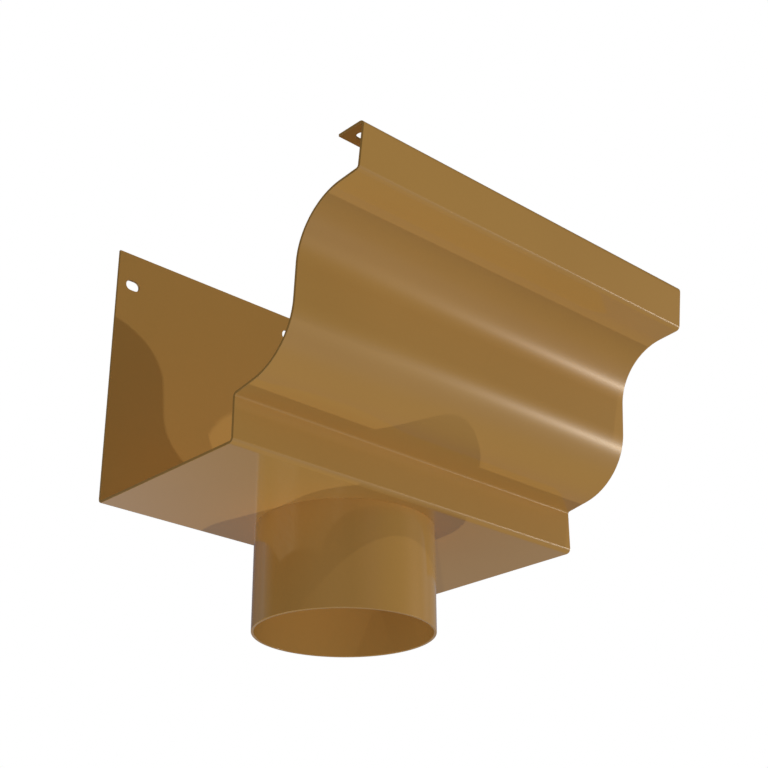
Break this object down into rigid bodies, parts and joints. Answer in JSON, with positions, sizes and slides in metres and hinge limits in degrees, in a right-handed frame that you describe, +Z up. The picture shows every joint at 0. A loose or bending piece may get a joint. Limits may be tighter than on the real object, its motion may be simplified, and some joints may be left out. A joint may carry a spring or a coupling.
{
  "type": "gutter outlet",
  "caption": "Running outlet for moulded ogee gutter: a folded, painted sheet trough open at its ends and top, with a round spigot in its sole that lets the water into a downpipe.",
  "frame": {"origin": "on the spigot's axis, at its lower rim", "axes": "+X along the gutter, +Y towards the wall that the back plate is fixed to, +Z up out of the open top; the spigot points along -Z"},
  "size_m": [0.1776, 0.15, 0.1535],
  "materials": {
    "trough_paint": "smooth glossy golden-brown powder coat",
    "spigot_paint": "smooth glossy golden-brown powder coat"
  },
  "bodies": {
    "root": {"outlet_trough": "trough_paint", "outlet_spigot": "spigot_paint"}
  },
  "joints": []
}
